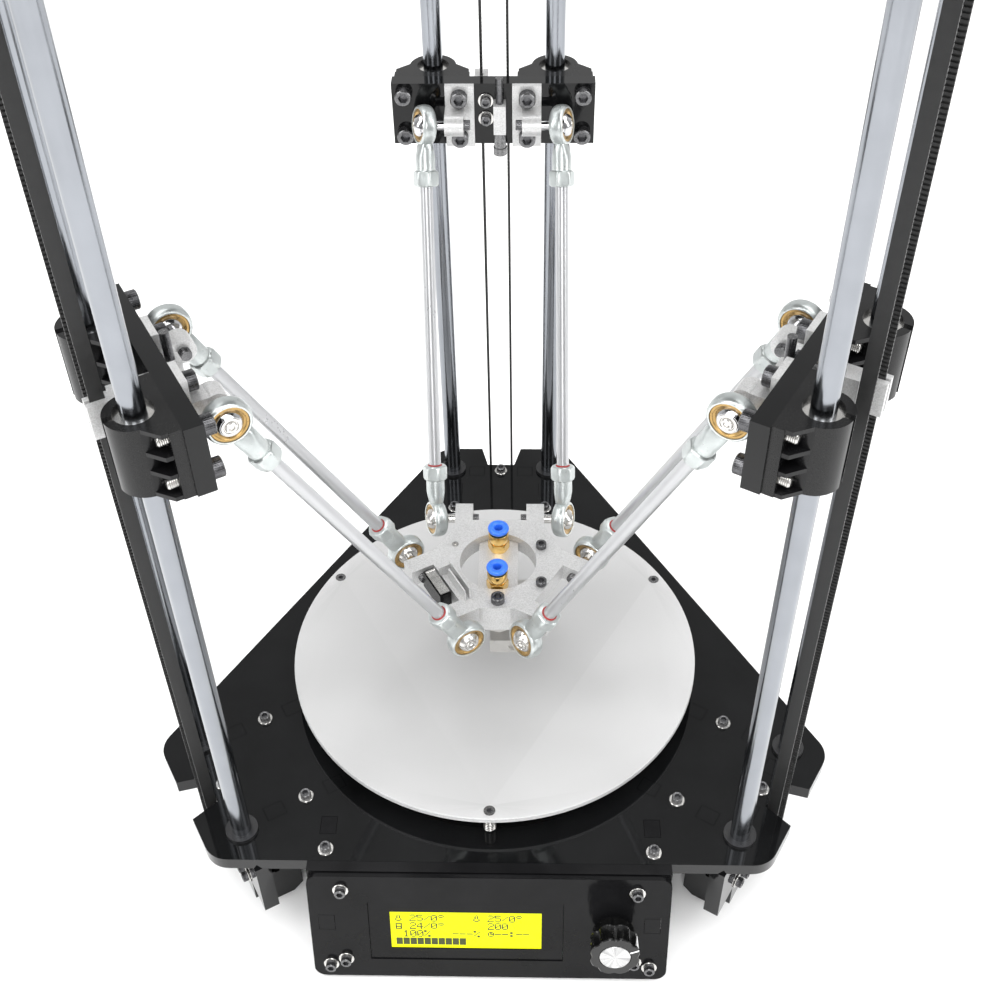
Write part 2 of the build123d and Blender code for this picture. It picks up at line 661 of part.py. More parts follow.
def endstop_switch(name):
    x, y = STRIKER_AT
    body = block((x - 3.2, x + 3.2), (y - 10, y + 10), (up(SWITCH_H[0]), up(SWITCH_H[1])))
    for s in (-1, 1):
        body += block((x - 3.2, x - 1.2), sorted((y - 10, y - 7)), (up(SWITCH_H[0] - 1.6), up(SWITCH_H[0] + 1)))
    return tower(name) * body


def endstop_lever(name):
    x, y = STRIKER_AT
    lever = block((x - 0.8, x + 2.6), (y - 8.5, y + 8), (up(LEVER_H), up(LEVER_H + 0.5)))
    return tower(name) * lever


# ---- display panel ----
def panel():
    """The panel's frame: x across, y up its face and z out of it."""
    x, y, h = PANEL_CENTRE
    return Pos(x, y, up(h)) * Rot(90 - PANEL_TILT, 0, 0)


WINDOW = ((-61.2, 37.6), (-23.5, 17.3))
LIT = ((-50.3, 26.5), (-15.8, 10.3))
PANEL_Y = (-36.0, 35.0)
PANEL_SCREWS = ((-74, 26), (74, 26), (-82, -27), (82, -27), (-74, -23), (74, -23))
PANEL_TAB = (-2.0, 8.0)


def lcd_panel():
    face = RectangleRounded(2 * PANEL_HALF_W, PANEL_Y[1] - PANEL_Y[0], 6)
    plate = Pos(0, sum(PANEL_Y) / 2, -PANEL_T) * extrude(face, amount=PANEL_T)
    plate -= block(WINDOW[0], WINDOW[1], (-9, 9))
    plate -= Pos(KNOB_AT[0], KNOB_AT[1], 0) * rod(3.6, -9, 9)
    for x, y in PANEL_SCREWS:
        plate -= Pos(x, y, 0) * rod(1.6, -9, 9)
    for s in (-1, 1):
        half = PLATE_T / 2
        plate -= slot_box((s * BRACKET_X - half, s * BRACKET_X + half), PANEL_TAB)
    return panel() * plate


def panel_bracket(side):
    """An upright from the base plate to the back of the panel."""
    lean = tan(radians(PANEL_TILT))
    back_y = PANEL_CENTRE[1] + PANEL_T / cos(radians(PANEL_TILT))

    def behind(h):
        return back_y + (h - PANEL_CENTRE[2]) * lean

    points = [(-98, -8), (behind(-8), -8), (behind(-64), -64), (-137, -64), (-98, -36)]
    x = side * BRACKET_X - PLATE_T / 2
    plate = slab([(y, up(h)) for y, h in points], x, x + PLATE_T, Plane.YZ)
    plate += block((x, x + PLATE_T), BRACKET_TAB_Y, (up(-8.5), up(0)))
    tab = block((x, x + PLATE_T), PANEL_TAB, (-PANEL_T - 0.5, 0))
    plate += panel() * tab
    across = (x - 1, x + PLATE_T + 1)
    y = BRACKET_SCREW_Y
    plate -= block(across, (y - 1.7, y + 1.7), (up(-20), up(-7)))
    plate -= block(across, (y - 2.9, y + 2.9), (up(-15.6), up(-13)))
    plate -= panel() * block(across, (-28.7, -25.3), (-16, -2.9))
    plate -= panel() * block(across, (-29.9, -24.1), (-11.6, -9))
    return plate


def panel_brackets():
    """The two uprights and the strip that closes the gap above the panel."""
    cover = block((-PANEL_HALF_W, PANEL_HALF_W), (-131.8, -LONG_EDGE - 0.1), (up(-6), up(0)))
    for s in (-1, 1):
        cover = cover - block((s * BRACKET_X - 4.1, s * BRACKET_X + 4.1), (-140, -120), (up(-9), up(-7)))
    return [panel_bracket(-1), panel_bracket(1), cover]


def lcd_module():
    """Controller board, display glass in its bezel, and the encoder's case."""
    board = block((-77, 78), (-31, 28), (-14.6, -13))
    for x, y in PANEL_SCREWS:
        board -= Pos(x, y, 0) * rod(1.6, -16, -12)
    bezel = block((WINDOW[0][0] + 0.2, WINDOW[0][1] - 0.2), (WINDOW[1][0] + 0.2, WINDOW[1][1] - 0.2), (-10.4, -0.6))
    bezel -= block(LIT[0], LIT[1], (-2.2, 1))
    glass = block((LIT[0][0] + 0.02, LIT[0][1] - 0.02), (LIT[1][0] + 0.02, LIT[1][1] - 0.02), (-2.2, -1.2))
    lcd_board = block((-61.5, 37.5), (-32, 26), (-12.2, -10.4))
    kx, ky = KNOB_AT
    encoder = Pos(kx, ky, 0) * (block((-6, 6), (-6.5, 6.5), (-13, -PANEL_T - 0.1)) + rod(3.5, -4, 3.5))
    encoder -= Pos(kx, ky, 0) * rod(3.05, -12, 9)
    solids = [board, bezel, glass, lcd_board, encoder]
    for x, y in PANEL_SCREWS:
        if abs(x) < 80:
            solids.append(Pos(x, y, 0) * ring(2.8, 1.55, -13, -PANEL_T))
    return place(panel(), solids)


ENCODER_SHAFT = (-9.0, 17.0)
KNOB_Z = (4.5, 21.0)
KNOB_R = 13.0


def encoder_shaft():
    return panel() * Pos(KNOB_AT[0], KNOB_AT[1], 0) * rod(3.0, ENCODER_SHAFT[0], ENCODER_SHAFT[1])


def knob():
    """A fluted knob with a flared skirt and a metal cap."""
    z0, z1 = KNOB_Z
    body = Pos(0, 0, z0) * Cone(KNOB_R + 1, KNOB_R, 3, align=(Align.CENTER, Align.CENTER, Align.MIN))
    body += Pos(0, 0, z0 + 2.9) * Cone(12.6, 11.4, z1 - z0 - 2.9, align=(Align.CENTER, Align.CENTER, Align.MIN))
    for i in range(8):
        flute = Pos(15.6, 0, (z0 + z1) / 2 + 3) * Cylinder(4.6, z1 - z0)
        body -= Rot(0, 0, 22.5 + 45 * i) * flute
    body -= rod(3.03, z0 - 1, ENCODER_SHAFT[1] + 0.5)
    body -= rod(7.6, z1 - 0.8, z1 + 1)
    cap = rod(7.55, z1 - 0.8, z1 + 0.2)
    cap = chamfer(cap.edges().group_by(Axis.Z)[-1], 0.2)
    return place(panel() * Pos(KNOB_AT[0], KNOB_AT[1], 0), [body, cap])


# ---- electronics under the base ----
def control_board():
    """Board on four posts under the base, with its sockets and heat sinks."""
    bx, by = BOARD_HALF
    board = block((-bx, bx), (-by, by), (up(BOARD_H), up(BOARD_H + 1.6)))
    solids = []
    for sx in (-1, 1):
        for sy in (-1, 1):
            spot = Pos(sx * (bx - 4), sy * (by - 4), 0)
            board -= spot * rod(1.6, up(BOARD_H) - 1, up(BOARD_H) + 3)
            solids.append(spot * ring(3.0, 1.6, up(BOARD_H + 1.6), up(-PLATE_T)))
    low = up(BOARD_H)
    parts = [((-50, -30), (30, 41)), ((-24, 4), (30, 41)), ((-20, 0), (-12, 8)), ((8, 22), (-36, -20))]
    for x, y in parts:
        solids.append(block(x, y, (low - 8, low)))
    usb = block((-62, -46), (-6, 6), (low - 11, low))
    jack = block((-62, -46), (-30, -16), (low - 11, low)) - Pos(0, -23, low - 5.5) * rod(3.2, -63, -52, "x")
    solids += [board, usb, jack]
    for i in range(5):
        x = 22 + 7.5 * i
        sink = block((x - 3, x + 3), (-4, 4), (low - 6, low))
        for g in (-1.0, 1.0):
            sink -= block((x + g - 0.5, x + g + 0.5), (-5, 5), (low - 7, low - 2))
        solids.append(sink)
    return solids


def bed_heater():
    return rod(HEATER_R, -BED_T - 1.6, -BED_T)


# ---- fasteners of the frame ----
def frame_screws():
    solids = []
    nut = square_nut(2.7, 2.3, 1.55)
    down = Pos(0, 0, up(0))
    outwards = Rot(0, 90, 0)
    for name in TOWERS:
        t = tower(name)
        spots = [(LOBE_SCREW_X, 0), (GUSSET_SCREW_X, GUSSET_Y), (GUSSET_SCREW_X, -GUSSET_Y)]
        for x, y in spots:
            solids += place(t * Pos(x, y, 0) * down, socket_screw(SCREW_M3, 16, washer=True))
            solids.append(t * Pos(x, y, up(-15.4)) * nut)
        for s in (-1, 1):
            spot = t * Pos(MOTOR_PLATE_X[1], s * GUSSET_Y, up(-45)) * outwards
            solids += place(spot, socket_screw(SCREW_M3, 16, washer=True))
            solids.append(t * Pos(150.5, s * GUSSET_Y, up(-45)) * outwards * nut)
            for v in (-1, 1):
                spot = t * Pos(MOTOR_PLATE_X[1], s * 15.5, up(MOTOR_H + v * 15.5)) * outwards
                solids += place(spot, socket_screw(SCREW_M3, 13))
            spot = t * Pos(IDLER_SCREW_X, s * 13, up(TOP_H[1]))
            solids += place(spot, socket_screw(SCREW_M3, 14, washer=True))
            solids.append(t * Pos(IDLER_SCREW_X, s * 13, up(TOP_H[0] - 4.9)) * nut)
    for s in (-1, 1):
        solids += place(Pos(s * BRACKET_X, BRACKET_SCREW_Y, up(0)), socket_screw(SCREW_M3, 16, washer=True))
        solids.append(Pos(s * BRACKET_X, BRACKET_SCREW_Y, up(-15.4)) * nut)
    for x, y in PANEL_SCREWS:
        length = 13 if abs(x) > 80 else 15
        solids += place(panel() * Pos(x, y, 0), socket_screw(SCREW_M3, length, washer=True))
    return solids


# ---- every piece, one node each ----
write("base_plate", [base_plate()])
write("top_plate", [top_plate()])
write("motor_plates", [motor_plate(n) for n in TOWERS])
write("leg_gussets", [gusset(n, s) for n in TOWERS for s in (-1, 1)])
write("stepper_motors", [stepper_motor(n) for n in TOWERS])
write("guide_rods", [r for n in TOWERS for r in guide_rods(n)])
write("rod_collars", [c for n in TOWERS for c in rod_collars(n)])
write("drive_belts", [drive_belt(n) for n in TOWERS])
write("idler_brackets", [b for n in TOWERS for b in idler_bracket(n)])
write("endstop_switches", [endstop_switch(n) for n in TOWERS])
write("bed_plate", [bed_plate()])
write("bed_heater", [bed_heater()])
write("bed_springs", bed_mounting())
write("lcd_panel", [lcd_panel()])
write("panel_brackets", panel_brackets())
write("lcd_module", lcd_module())
write("control_board", control_board())
write("frame_screws", frame_screws())
write("encoder_shaft", [encoder_shaft()])
write("knob", knob())
for n in TOWERS:
    write(f"drive_pulley_{n}", drive_pulley(n))
    write(f"idler_pulley_{n}", [idler_pulley(n)])
    write(f"endstop_lever_{n}", [endstop_lever(n)])
    write(f"carriage_plate_{n}", [carriage_plate(n)])
    write(f"bearing_housings_{n}", [bearing_housing(n, s) for s in (-1, 1)])
    write(f"linear_bearings_{n}", [linear_bearing(n, s) for s in (-1, 1)])
    write(f"rod_brackets_{n}", rod_brackets(n))
    write(f"belt_clamp_{n}", belt_clamp(n))
    write(f"carriage_fasteners_{n}", carriage_fasteners(n))
    for s, where in zip((-1, 1), ARM_SIDES[n]):
        write(f"arm_{n}_{where}", arm(n, s))
write("effector_plate", [effector_plate()])
write("hotend_bridge", [hotend_bridge()])
write("hotends", hotends())
write("push_fittings", push_fittings())
write("probe_switch", probe_switch())
write("probe_lever", [probe_lever()])
write("effector_fasteners", effector_fasteners())
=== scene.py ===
import json
from math import cos, hypot, pi, radians, sin

import bmesh
import bpy
import numpy as np
from mathutils import Matrix, Vector


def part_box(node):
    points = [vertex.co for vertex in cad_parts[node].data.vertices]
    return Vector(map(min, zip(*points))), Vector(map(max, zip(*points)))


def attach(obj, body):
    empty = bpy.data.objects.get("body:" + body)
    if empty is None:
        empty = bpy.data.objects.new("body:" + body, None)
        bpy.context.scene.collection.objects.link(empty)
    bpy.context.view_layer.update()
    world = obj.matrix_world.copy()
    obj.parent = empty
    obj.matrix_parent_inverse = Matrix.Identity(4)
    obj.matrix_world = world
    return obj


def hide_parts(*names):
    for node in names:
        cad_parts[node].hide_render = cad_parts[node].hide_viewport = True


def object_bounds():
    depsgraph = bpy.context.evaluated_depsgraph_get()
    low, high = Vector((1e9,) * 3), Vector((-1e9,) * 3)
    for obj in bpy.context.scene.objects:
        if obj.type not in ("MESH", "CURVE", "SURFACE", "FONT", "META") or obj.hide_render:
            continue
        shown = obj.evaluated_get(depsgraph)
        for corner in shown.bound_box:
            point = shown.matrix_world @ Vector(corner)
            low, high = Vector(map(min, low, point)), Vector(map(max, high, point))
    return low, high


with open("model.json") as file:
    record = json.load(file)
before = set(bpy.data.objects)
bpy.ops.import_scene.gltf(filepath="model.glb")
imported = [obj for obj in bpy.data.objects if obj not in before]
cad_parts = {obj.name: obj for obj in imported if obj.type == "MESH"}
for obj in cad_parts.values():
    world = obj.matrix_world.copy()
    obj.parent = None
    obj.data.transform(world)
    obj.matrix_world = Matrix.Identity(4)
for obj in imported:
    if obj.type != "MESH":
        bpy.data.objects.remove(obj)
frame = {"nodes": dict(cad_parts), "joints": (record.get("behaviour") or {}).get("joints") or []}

CAD_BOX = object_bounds()
NODES = frame["nodes"]
JOINTS = {j["name"]: j for j in frame["joints"]}
TOWERS = {"back": 90, "left": 210, "right": 330}
MM = 0.001

# Sizes in millimetres, angles in degrees.
ARM_LENGTH = 206.5
ARMS = (("arm_back_left", "back"), ("arm_back_right", "back"), ("arm_left_front", "left"),
        ("arm_left_rear", "left"), ("arm_right_front", "right"), ("arm_right_rear", "right"))
END_TURN = {"arm_back_right": (22, 22), "arm_back_left": (-24, -24), "arm_right_front": (0, 24)}
BED_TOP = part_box("bed_plate")[1][2] / MM
BASE_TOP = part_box("base_plate")[1][2] / MM
BED_THICK = 3.0
BASE_THICK = 8.0
BED_SCREW_R = 105.8
BED_NUT = 2.4
SHORTEST_SCREW = 9.0
TOOTH_PITCH = 2.0
BELT_X = (169.05, 174.95)
BELT_OUTER_R = 7.51
BELT_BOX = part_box("drive_belts")
BELT_AXES = (BELT_BOX[0][2] / MM + BELT_OUTER_R, BELT_BOX[1][2] / MM - BELT_OUTER_R)
FITTING_Y = 14.0
KNOB_ON_PANEL = (62.5, 4.0)


# ---- material building ----
def noise(nt, vector, scale, detail=4.0, rough=0.55):
    n = nt.nodes.new("ShaderNodeTexNoise")
    n.inputs["Scale"].default_value = scale
    n.inputs["Detail"].default_value = detail
    n.inputs["Roughness"].default_value = rough
    nt.links.new(vector, n.inputs["Vector"])
    return n.outputs["Fac"]


def spread(nt, value, low, high, start=0.3, end=0.7):
    m = nt.nodes.new("ShaderNodeMapRange")
    m.inputs["From Min"].default_value = start
    m.inputs["From Max"].default_value = end
    m.inputs["To Min"].default_value = low
    m.inputs["To Max"].default_value = high
    nt.links.new(value, m.inputs["Value"])
    return m.outputs["Result"]


def mix(nt, fac, a, b):
    m = nt.nodes.new("ShaderNodeMix")
    m.data_type = "RGBA"
    nt.links.new(fac, m.inputs["Factor"])
    for socket, value in ((m.inputs["A"], a), (m.inputs["B"], b)):
        if isinstance(value, tuple):
            socket.default_value = (*value, 1.0)
        else:
            nt.links.new(value, socket)
    return m.outputs["Result"]


def math(nt, op, a, b=0.0):
    m = nt.nodes.new("ShaderNodeMath")
    m.operation = op
    for socket, value in ((m.inputs[0], a), (m.inputs[1], b)):
        if isinstance(value, (int, float)):
            socket.default_value = value
        else:
            nt.links.new(value, socket)
    return m.outputs["Value"]


def material(name, colour, rough, metal=0.0, tint=0.12, patch=90.0, grain=1500.0,
             bump=0.05, depth=0.00004, stretch=(1, 1, 1), worn=None, specular=0.5, swing=0.25):
    """A surface whose colour and roughness vary in patches, with a fine grain in its bump."""
    m = bpy.data.materials.new(name)
    m.use_nodes = True
    m.diffuse_color = (*colour, 1)
    nt = m.node_tree
    bsdf = nt.nodes["Principled BSDF"]
    where = nt.nodes.new("ShaderNodeTexCoord").outputs["Object"]
    mapping = nt.nodes.new("ShaderNodeMapping")
    mapping.inputs["Scale"].default_value = stretch
    nt.links.new(where, mapping.inputs["Vector"])
    patches = noise(nt, where, patch)
    fine = noise(nt, mapping.outputs["Vector"], grain, 6.0, 0.6)
    dark = tuple(c * (1 - tint) for c in colour)
    light = tuple(min(1.0, c * (1 + tint)) for c in colour)
    shade = mix(nt, spread(nt, patches, 0, 1), dark, light)
    if worn:
        geometry = nt.nodes.new("ShaderNodeNewGeometry")
        edges = spread(nt, geometry.outputs["Pointiness"], 0, 1, 0.52, 0.58)
        shade = mix(nt, math(nt, "MULTIPLY", edges, spread(nt, fine, 0, 1, 0.35, 0.6)), shade, worn)
    nt.links.new(shade, bsdf.inputs["Base Color"])
    both = math(nt, "ADD", math(nt, "MULTIPLY", patches, 0.5), math(nt, "MULTIPLY", fine, 0.5))
    roughness = spread(nt, both, rough * (1 - swing), min(1.0, rough * (1 + swing)))
    nt.links.new(roughness, bsdf.inputs["Roughness"])
    bsdf.inputs["Metallic"].default_value = metal
    bsdf.inputs["Specular IOR Level"].default_value = specular
    b = nt.nodes.new("ShaderNodeBump")
    b.inputs["Strength"].default_value = bump
    b.inputs["Distance"].default_value = depth
    nt.links.new(fine, b.inputs["Height"])
    nt.links.new(b.outputs["Normal"], bsdf.inputs["Normal"])
    return m


ACRYLIC = material("black_acrylic", (0.0045, 0.0047, 0.005), 0.05, tint=0.3, patch=30, grain=300,
                   bump=0.006, specular=0.28)
PANEL = material("panel_acrylic", (0.0065, 0.0065, 0.007), 0.12, tint=0.25, patch=40, grain=900,
                 bump=0.02, specular=0.12)
MOULDED = material("moulded_black", (0.0055, 0.0055, 0.006), 0.24, tint=0.25, patch=120, grain=2200,
                   bump=0.04, worn=(0.012, 0.012, 0.012), specular=0.24)
COLLAR = material("collar_plastic", (0.012, 0.012, 0.013), 0.3, tint=0.2, patch=200, grain=1800,
                  bump=0.05)
SOCKET = material("black_oxide", (0.10, 0.10, 0.105), 0.26, metal=0.9, tint=0.3, patch=400,
                  grain=2500, bump=0.05, worn=(0.25, 0.25, 0.25))
BRIGHT = material("nickel_plate", (0.60, 0.59, 0.57), 0.22, metal=0.95, tint=0.08, patch=300,
                  grain=1800, bump=0.04)
STEEL = material("ground_rod", (0.27, 0.283, 0.305), 0.17, metal=1.0, tint=0.05, patch=60,
                 grain=900, bump=0.008, stretch=(1, 1, 0.02), swing=0.12)
ALUMINIUM = material("satin_aluminium", (0.49, 0.49, 0.485), 0.36, metal=0.5, tint=0.015, patch=60,
                     grain=1600, bump=0.007, worn=(0.66, 0.66, 0.66), swing=0.1)
BED = material("bed_aluminium", (0.43, 0.43, 0.43), 0.5, metal=0.15, tint=0.015, patch=25,
               grain=2600, bump=0.12, depth=0.00003, worn=(0.75, 0.75, 0.75))
ZINC = material("zinc_plate", (0.47, 0.50, 0.495), 0.33, metal=0.75, tint=0.07, patch=200,
                grain=1100, bump=0.03, worn=(0.62, 0.65, 0.64))
TUBE = material("drawn_tube", (0.47, 0.475, 0.485), 0.30, metal=0.7, tint=0.03, patch=30, grain=700,
                bump=0.012, stretch=(1, 1, 0.4), swing=0.12)
RACE = material("race_bronze", (0.40, 0.26, 0.10), 0.3, metal=0.9, tint=0.15, patch=400, grain=1800,
                bump=0.05)
BRASS = material("turned_brass", (0.80, 0.53, 0.18), 0.18, metal=1.0, tint=0.1, patch=350,
                 grain=1400, bump=0.04)
CHROME = material("ball_chrome", (0.56, 0.56, 0.57), 0.12, metal=1.0, tint=0.04, patch=300,
                  grain=1500, bump=0.01)
RUBBER = material("belt_rubber", (0.012, 0.012, 0.012), 0.5, tint=0.25, patch=250, grain=2600,
                  bump=0.15)
LACQUER = material("thread_lacquer", (0.30, 0.02, 0.02), 0.35, tint=0.3, patch=500, grain=1500,
                   bump=0.1)
COLLET = material("collet_blue", (0.03, 0.17, 0.78), 0.3, tint=0.12, patch=300, grain=1800,
                  bump=0.04)
LAMINATE = material("green_laminate", (0.012, 0.10, 0.045), 0.35, tint=0.2, patch=150, grain=1500,
                    bump=0.1)
CHIP = material("component_black", (0.02, 0.02, 0.021), 0.45, tint=0.2, patch=400, grain=2500,
                bump=0.15)
KAPTON = material("heater_sheet", (0.07, 0.03, 0.02), 0.4, tint=0.3, patch=120, grain=1200,
                  bump=0.15)
KNOB_BLACK = material("knob_gloss", (0.004, 0.004, 0.004), 0.12, tint=0.3, patch=150, grain=1500,
                      bump=0.02, specular=0.5)
NOZZLE_HOT = material("heater_metal", (0.50, 0.49, 0.47), 0.32, metal=0.5, tint=0.05, patch=200,
                      grain=1500, bump=0.04)
MOTOR_BLACK = material("motor_enamel", (0.012, 0.012, 0.013), 0.4, tint=0.2, patch=200, grain=1500,
                       bump=0.08)
INK = material("pixel_ink", (0.035, 0.045, 0.002), 0.5, tint=0.15, patch=900, grain=2500,
               bump=0.05)
POINTER = material("pointer_white", (0.85, 0.85, 0.85), 0.4, tint=0.03, patch=300, grain=1800,
                   bump=0.05)


def lit_glass():
    """The backlit glass: yellow-green light, a little uneven in broad patches."""
    m = material("lit_glass", (0.35, 0.36, 0.004), 0.3, tint=0.04, patch=60, grain=900, bump=0.01,
                 specular=0.1)
    nt = m.node_tree
    bsdf = nt.nodes["Principled BSDF"]
    where = nt.nodes.new("ShaderNodeTexCoord").outputs["Object"]
    glow = mix(nt, spread(nt, noise(nt, where, 25), 0, 1), (0.86, 0.90, 0.003), (0.94, 0.98, 0.008))
    nt.links.new(glow, bsdf.inputs["Emission Color"])
    bsdf.inputs["Emission Strength"].default_value = 0.85
    return m


LIT = lit_glass()


# ---- painting the CAD nodes, solid by solid ----
def solids_of(obj):
    """The polygons of each separate solid, with the solid's corners, in metres."""
    me = obj.data
    co = np.empty(len(me.vertices) * 3)
    me.vertices.foreach_get("co", co)
    co = co.reshape(-1, 3)
    _, same = np.unique(np.round(co * 2e5).astype(np.int64), axis=0, return_inverse=True)
    same = same.ravel()
    root = list(range(int(same.max()) + 1))

    def find(i):
        while root[i] != i:
            root[i] = root[root[i]]
            i = root[i]
        return i

    starts = [[int(same[v]) for v in p.vertices] for p in me.polygons]
    for corners in starts:
        first = find(corners[0])
        for c in corners[1:]:
            root[find(c)] = first
    groups = {}
    for i, corners in enumerate(starts):
        groups.setdefault(find(corners[0]), []).append(i)
    for polygons in groups.values():
        at = np.unique([v for i in polygons for v in me.polygons[i].vertices])
        yield polygons, co[at]


def turned(points, angle):
    """Points turned about z, so that a tower at this angle comes onto x."""
    a = radians(-angle)
    c, s = cos(a), sin(a)
    out = points.copy()
    out[:, 0] = points[:, 0] * c - points[:, 1] * s
    out[:, 1] = points[:, 0] * s + points[:, 1] * c
    return out


def paint(name, choose, angle=0):
    """Gives each solid of a node the material that choose(low, size) names. Both are in
    millimetres, with the tower at this angle turned onto x."""
    obj = NODES[name]
    me = obj.data
    me.materials.clear()
    index = np.zeros(len(me.polygons), np.int32)
    used = []
    for polygons, co in solids_of(obj):
        co = turned(co, angle) / MM
        low = co.min(0)
        pick = choose(low, co.max(0) - low)
        if pick not in used:
            used.append(pick)
            me.materials.append(pick)
        index[polygons] = used.index(pick)
    me.polygons.foreach_set("material_index", index)
    me.update()


def band(name, picks):
    """Colours a node by distance from the machine's axis: picks holds (up to mm, material)."""
    obj = NODES[name]
    me = obj.data
    me.materials.clear()
    for _, pick in picks:
        me.materials.append(pick)
    for p in me.polygons:
        r = hypot(p.center.x, p.center.y) / MM
        p.material_index = next((i for i, (limit, _) in enumerate(picks) if r < limit),
                                len(picks) - 1)


def all_one(pick):
    return lambda low, size: pick


for node in NODES:
    paint(node, all_one(MOULDED))
for node in ("base_plate", "top_plate", "motor_plates", "leg_gussets"):
    paint(node, all_one(ACRYLIC))
for node in ("lcd_panel", "panel_brackets"):
    paint(node, all_one(PANEL))
paint("guide_rods", all_one(STEEL))
paint("rod_collars", all_one(COLLAR))
paint("bed_plate", all_one(BED))
paint("bed_heater", all_one(KAPTON))
paint("effector_plate", all_one(ALUMINIUM))
paint("hotend_bridge", all_one(ALUMINIUM))
paint("encoder_shaft", all_one(BRIGHT))
paint("idler_brackets", all_one(ZINC))
paint("probe_lever", all_one(BRIGHT))
for tower, angle in TOWERS.items():
    paint(f"carriage_plate_{tower}", all_one(ACRYLIC))
    paint(f"linear_bearings_{tower}", all_one(BRIGHT))
    paint(f"drive_pulley_{tower}", all_one(ALUMINIUM))
    paint(f"idler_pulley_{tower}", all_one(ALUMINIUM))
    paint(f"belt_clamp_{tower}", all_one(ALUMINIUM))
    paint(f"endstop_lever_{tower}", all_one(BRIGHT))
    paint(f"rod_brackets_{tower}", lambda low, size: ALUMINIUM if size[2] > 20 else CHROME, angle)


def display_part(low, size):
    """Told apart by their widths: glass, bezel, spacers, encoder, and the two boards."""
    for width, pick in ((8, BRIGHT), (20, CHIP), (80, LIT), (98.7, PANEL)):
        if size[0] < width:
            return pick
    return LAMINATE


paint("lcd_module", display_part)
paint("probe_switch", lambda low, size: ALUMINIUM if low[2] > 66 else MOULDED)
paint("control_board", lambda low, size: LAMINATE if size[0] > 100 else CHIP)
paint("hotends", all_one(NOZZLE_HOT))
band("stepper_motors", ((126, BRIGHT), (149, MOTOR_BLACK), (170, BRIGHT)))


# ---- meshes ----
def make(name, verts, faces, pick, body, soft=35):
    """A piece from vertices in millimetres. Edges flatter than soft degrees are smooth."""
    me = bpy.data.meshes.new(name)
    me.from_pydata([tuple(c * MM for c in v) for v in verts], [], faces)
    me.materials.append(pick)
    bm = bmesh.new()
    bm.from_mesh(me)
    bmesh.ops.recalc_face_normals(bm, faces=bm.faces)
    for f in bm.faces:
        f.smooth = True
    for e in bm.edges:
        e.smooth = len(e.link_faces) == 2 and e.calc_face_angle(0) < radians(soft)
    bm.to_mesh(me)
    bm.free()
    obj = bpy.data.objects.new(name, me)
    bpy.context.scene.collection.objects.link(obj)
    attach(obj, body)
    return obj


def circle(radius, z, steps):
    """A ring of points at height z, with the radius a function of the angle."""
    ring = []
    for k in range(steps):
        a = 2 * pi * k / steps
        ring.append((radius(a) * cos(a), radius(a) * sin(a), z))
    return ring


class Shape:
    """Vertices and faces gathered from several closed forms."""

    def __init__(self):
        self.verts, self.faces = [], []

    def add(self, place, verts, faces):
        base = len(self.verts)
        self.verts += [tuple(place @ Vector(v)) for v in verts]
        self.faces += [tuple(base + i for i in f) for f in faces]

    def rings(self, place, rings, closed=False):
        """Skins between rings of equal length. Capped at both ends unless closed."""
        n = len(rings[0])
        verts = [v for r in rings for v in r]
        faces = []
        last = len(rings) if closed else len(rings) - 1
        for i in range(last):
            a, b = i * n, (i + 1) % len(rings) * n
            for k in range(n):
                j = (k + 1) % n
                faces.append((a + k, a + j, b + j, b + k))
        if not closed:
            faces.append(tuple(range(n))[::-1])
            faces.append(tuple(range((len(rings) - 1) * n, len(rings) * n)))
        self.add(place, verts, faces)

    def lathe(self, place, profile, steps=48, hole=False):
        """Turns (radius, z) points round z. A hole means that the profile is a closed loop."""
        self.rings(place, [circle(round_r(r), z, steps) for r, z in profile], closed=hole)

    def lobes(self, place, sections, steps=96):
        """A skin through sections, each (z, radius as a function of the angle)."""
        self.rings(place, [circle(radius, z, steps) for z, radius in sections])

    def wedge(self, place, low_x, high_x, y, z):
        """A bar whose x span changes from its lower to its upper z."""
        verts = []
        for (x0, x1), height in ((low_x, z[0]), (high_x, z[1])):
            verts += [(x0, y[0], height), (x1, y[0], height),
                      (x1, y[1], height), (x0, y[1], height)]
        self.add(place, verts, [(0, 1, 2, 3), (4, 5, 6, 7), (0, 1, 5, 4), (1, 2, 6, 5),
                                (2, 3, 7, 6), (3, 0, 4, 7)])

    def block(self, place, x, y, z):
        self.wedge(place, x, x, y, z)

    def piece(self, name, pick, body, soft=35):
        return make(name, self.verts, self.faces, pick, body, soft)


def hexagon(apothem, cap=99.0):
    def radius(a):
        corner = (a % (pi / 3)) - pi / 6
        return min(apothem / cos(corner), cap)
    return radius


def round_r(r):
    return lambda a: r


def frame_at(origin, z_axis, x_axis):
    z = Vector(z_axis).normalized()
    x = Vector(x_axis)
    x = (x - z * x.dot(z)).normalized()
    y = z.cross(x)
    m = Matrix((x, y, z)).transposed().to_4x4()
    return Matrix.Translation(Vector(origin)) @ m


def any_x(z):
    return (1, 0, 0) if abs(z[0]) < 0.7 else (0, 1, 0)


# ---- screws, washers and nuts where the CAD ones are ----
def axis_of(co, flat=False):
    """The middle of a solid's corners and its longest direction, or its thinnest if flat."""
    unique = np.unique(np.round(co, 3), axis=0)
    _, _, v = np.linalg.svd(unique - unique.mean(0), full_matrices=False)
    return unique.mean(0), v[2] if flat else v[0]


